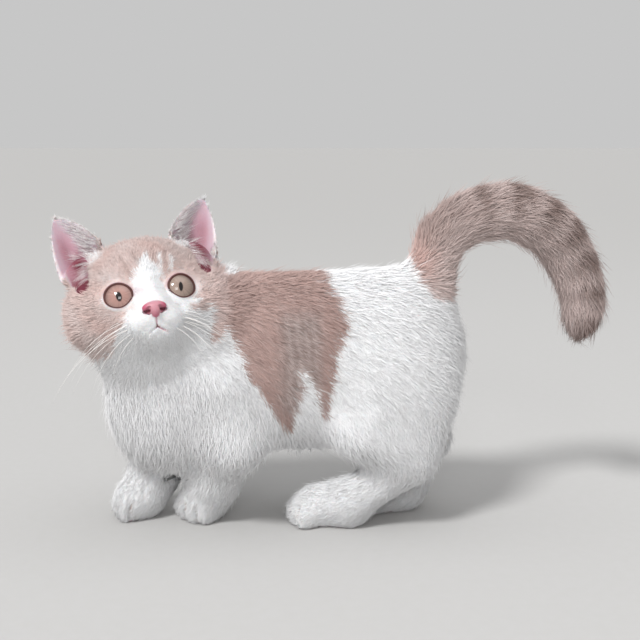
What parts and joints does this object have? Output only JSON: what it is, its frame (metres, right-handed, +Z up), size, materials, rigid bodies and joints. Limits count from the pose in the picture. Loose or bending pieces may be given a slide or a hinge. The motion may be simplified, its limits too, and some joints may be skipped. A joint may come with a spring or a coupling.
{
  "type": "munchkin kitten model",
  "caption": "Still life-size museum model of a short-legged munchkin kitten, standing, head turned and raised, tail arched up and over.",
  "frame": {"origin": "on the floor, under the middle of the bounding box", "axes": "+Z up; the trunk faces -Y and the tail trails to +Y; +X is the kitten's left side, which its face turns to"},
  "size_m": [0.0978, 0.2894, 0.1748],
  "materials": {
    "white_fur": "soft short coat",
    "lilac_fur": "soft short coat",
    "ear": "thin skin with fine hair",
    "nose_leather": "moist",
    "eye": "wet gloss"
  },
  "bodies": {
    "root": {"head": "lilac_fur", "ear_left": "ear", "ear_right": "ear", "eye_left": "eye", "eye_right": "eye", "nose": "nose_leather", "neck": "white_fur", "chest": "white_fur", "belly": "lilac_fur", "rump": "white_fur", "upper_arm_left": "white_fur", "upper_arm_right": "white_fur", "forearm_left": "white_fur", "forearm_right": "white_fur", "forepaw_left": "white_fur", "forepaw_right": "white_fur", "thigh_left": "white_fur", "thigh_right": "white_fur", "shank_left": "white_fur", "shank_right": "white_fur", "hindpaw_left": "white_fur", "hindpaw_right": "white_fur", "tail_1": "lilac_fur", "tail_2": "lilac_fur", "tail_3": "lilac_fur", "tail_4": "lilac_fur", "tail_5": "lilac_fur"}
  },
  "joints": []
}
